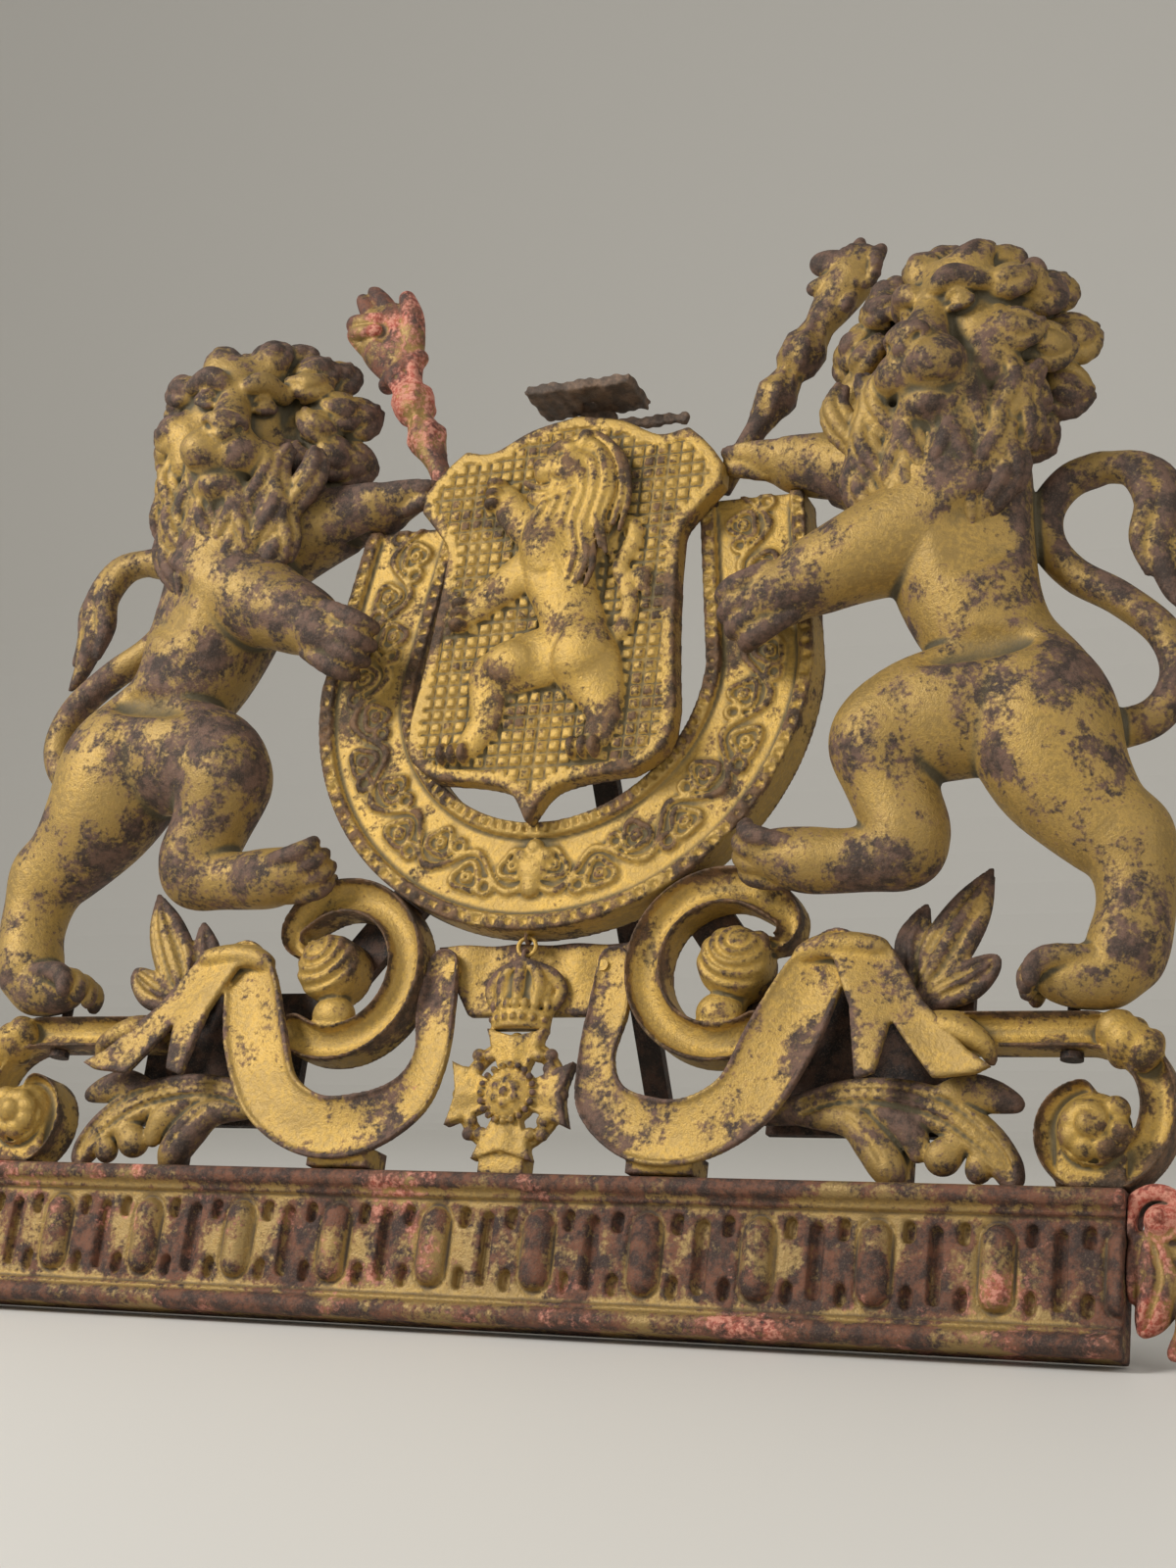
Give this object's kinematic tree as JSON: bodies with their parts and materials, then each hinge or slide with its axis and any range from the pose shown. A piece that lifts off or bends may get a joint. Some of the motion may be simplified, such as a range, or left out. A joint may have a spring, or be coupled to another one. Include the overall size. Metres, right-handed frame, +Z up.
{
  "type": "cast iron coat of arms",
  "caption": "Standing cast iron coat of arms: two lions hold a collar round a shield above scrolls, ribbons and a hanging badge on a fluted rail, propped by a rear stay.",
  "frame": {"origin": "middle of the bounding box at the level on which the rail heel and the stay foot stand", "axes": "+X along the rail to the viewer's right, +Y to the back where the stay stands, +Z up"},
  "size_m": [0.7106, 0.3238, 0.6032],
  "materials": {
    "gilt_iron": "worn gilding over brown-black iron",
    "rusted_iron": "rust brown with remains of red primer and gold",
    "wrought_iron": "dark forged bar with a dull skin",
    "steel_fixing": "browned steel"
  },
  "bodies": {
    "arms": {"acanthus_left": "gilt_iron", "acanthus_right": "gilt_iron", "back_plate": "wrought_iron", "badge": "gilt_iron", "base_rail": "rusted_iron", "c_scroll_left": "gilt_iron", "c_scroll_right": "gilt_iron", "collar": "gilt_iron", "crown_seat": "wrought_iron", "ear_screws": "steel_fixing", "fold_rivets": "steel_fixing", "foot_screws": "steel_fixing", "junction_plate_left": "wrought_iron", "junction_plate_right": "wrought_iron", "junction_rivets": "steel_fixing", "leaf_spray_left": "gilt_iron", "leaf_spray_right": "gilt_iron", "lion_left": "gilt_iron", "lion_right": "gilt_iron", "outer_scroll_left": "gilt_iron", "outer_scroll_right": "gilt_iron", "paw_screws": "steel_fixing", "rail_end_left": "rusted_iron", "rail_end_right": "rusted_iron", "rail_end_screws": "steel_fixing", "rear_stay": "wrought_iron", "ribbon_centre": "gilt_iron", "ribbon_left": "gilt_iron", "ribbon_right": "gilt_iron", "sceptre_left": "gilt_iron", "sceptre_right": "gilt_iron", "shield": "gilt_iron", "shield_bolts": "steel_fixing", "standing_screws": "steel_fixing", "tab_bolts": "steel_fixing"},
    "ring": {"jump_ring": "steel_fixing"}
  },
  "joints": [
    {"name": "ring_swing", "type": "hinge", "parent": "arms", "child": "ring", "pos_m": [0, -0.09571, 0.19647], "axis": [1, 0, 0], "range_deg": [-3, 3]}
  ]
}
